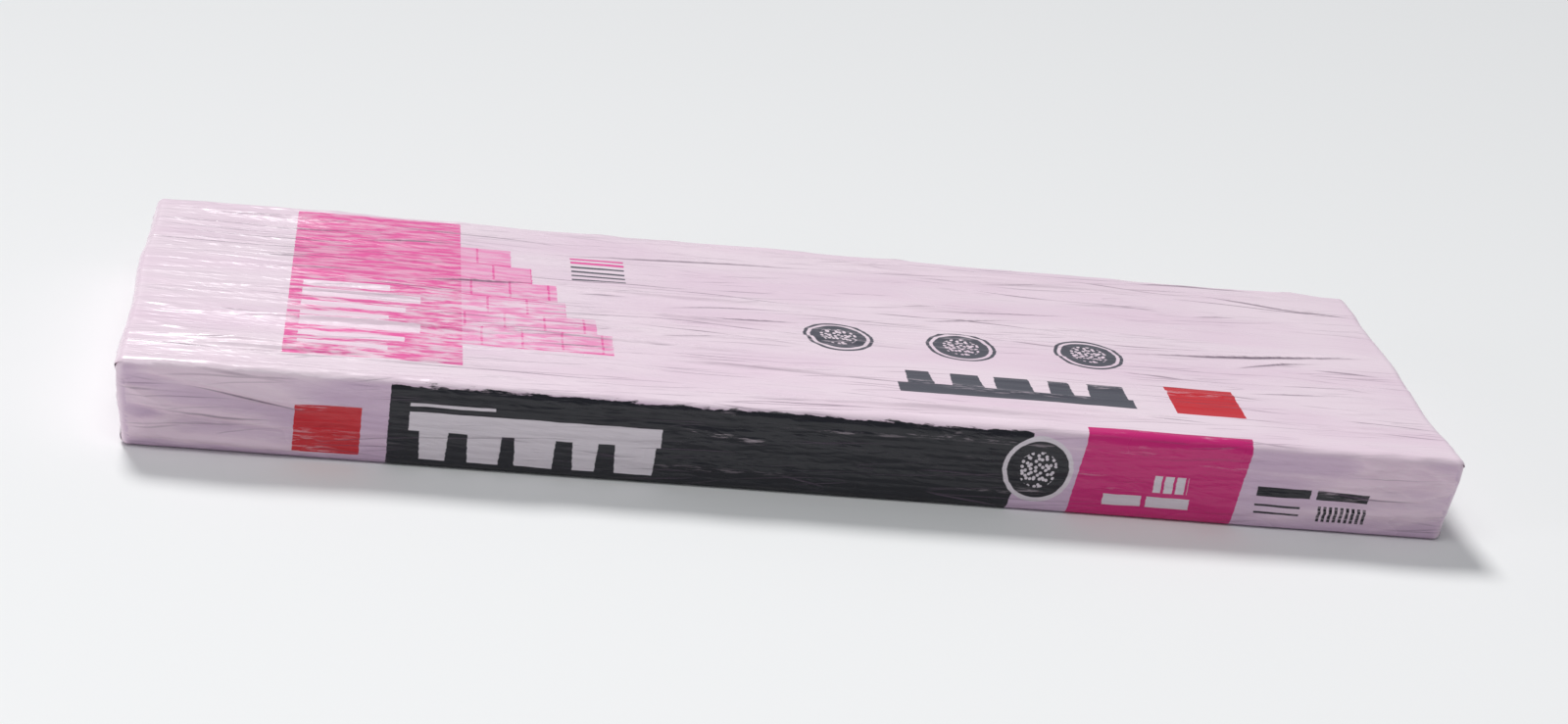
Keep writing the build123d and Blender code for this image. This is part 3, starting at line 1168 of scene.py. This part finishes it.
def add_floor(side):
    """A square floor about the origin."""
    half = side / 2
    mesh = bpy.data.meshes.new("floor")
    corners = [(-half, -half, 0), (half, -half, 0), (half, half, 0), (-half, half, 0)]
    mesh.from_pydata(corners, [], [(0, 1, 2, 3)])
    floor = add_object("floor", mesh)
    floor.data.materials.append(floor_material())
    floor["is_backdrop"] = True


def add_lights(scene):
    """Light from all round, a soft key light from behind, and two lamps in front."""
    scene.world = bpy.data.worlds.new("studio")
    scene.world.use_nodes = True
    background = scene.world.node_tree.nodes["Background"]
    background.inputs[0].default_value = ROOM_COLOUR
    background.inputs[1].default_value = ROOM_LIGHT
    key = add_object("key", bpy.data.lights.new("key", "SUN"))
    key.data.energy = KEY_LIGHT
    key.data.angle = math.radians(KEY_SPREAD)
    point(key, KEY_WAY)
    area_light("over", *OVER_LAMP)
    area_light("fill", *FILL_LAMP)


def add_camera(scene, s):
    """A camera that looks at the middle of the bundle from its azimuth and elevation."""
    low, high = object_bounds()
    centre = Vector([(a + b) / 2 for a, b in zip(low, high)])
    level = math.cos(s.elevation)
    back = Vector((math.sin(s.azimuth) * level, -math.cos(s.azimuth) * level, math.sin(s.elevation)))
    camera = add_object("camera", bpy.data.cameras.new("camera"))
    camera.data.sensor_width = SENSOR
    camera.data.lens = s.lens
    camera.location = centre + back * s.distance
    point(camera, -back)
    camera.rotation_quaternion = camera.rotation_quaternion @ Quaternion((0, 0, 1), s.roll)
    scene.camera = camera


class BUNDLE_OT_stage(bpy.types.Operator):
    """Set up the floor, the light and the camera"""

    bl_idname = "bundle.stage"
    bl_label = "Set the stage"

    def execute(self, context):
        scene, s = context.scene, context.scene.bundle_stage
        add_floor(s.floor)
        add_lights(scene)
        add_camera(scene, s)
        scene.view_settings.view_transform = "Standard"
        return {"FINISHED"}


# Panel and registration


class BUNDLE_PT_panel(bpy.types.Panel):
    """Settings and steps of the bundle"""

    bl_idname = "BUNDLE_PT_panel"
    bl_label = "Shingle bundle"
    bl_space_type = "VIEW_3D"
    bl_region_type = "UI"
    bl_category = "Shingle bundle"

    def draw(self, context):
        for step in STEPS:
            settings = getattr(context.scene, f"bundle_{step}")
            box = self.layout.box()
            for key in settings.__annotations__:
                box.prop(settings, key)
            box.operator(f"bundle.{step}")


STEPS = {"wrap": WrapSettings, "shingles": ShingleSettings, "stage": StageSettings}
CLASSES = (*STEPS.values(), BUNDLE_OT_wrap, BUNDLE_OT_shingles, BUNDLE_OT_stage, BUNDLE_PT_panel)


def register():
    for cls in CLASSES:
        bpy.utils.register_class(cls)
    for step, group in STEPS.items():
        setattr(bpy.types.Scene, f"bundle_{step}", bpy.props.PointerProperty(type=group))


def unregister():
    for step in STEPS:
        delattr(bpy.types.Scene, f"bundle_{step}")
    for cls in reversed(CLASSES):
        bpy.utils.unregister_class(cls)


def main():
    register()
    bpy.ops.bundle.shingles()
    bpy.ops.bundle.wrap()
    bpy.ops.bundle.stage()


if __name__ == "__main__":
    main()
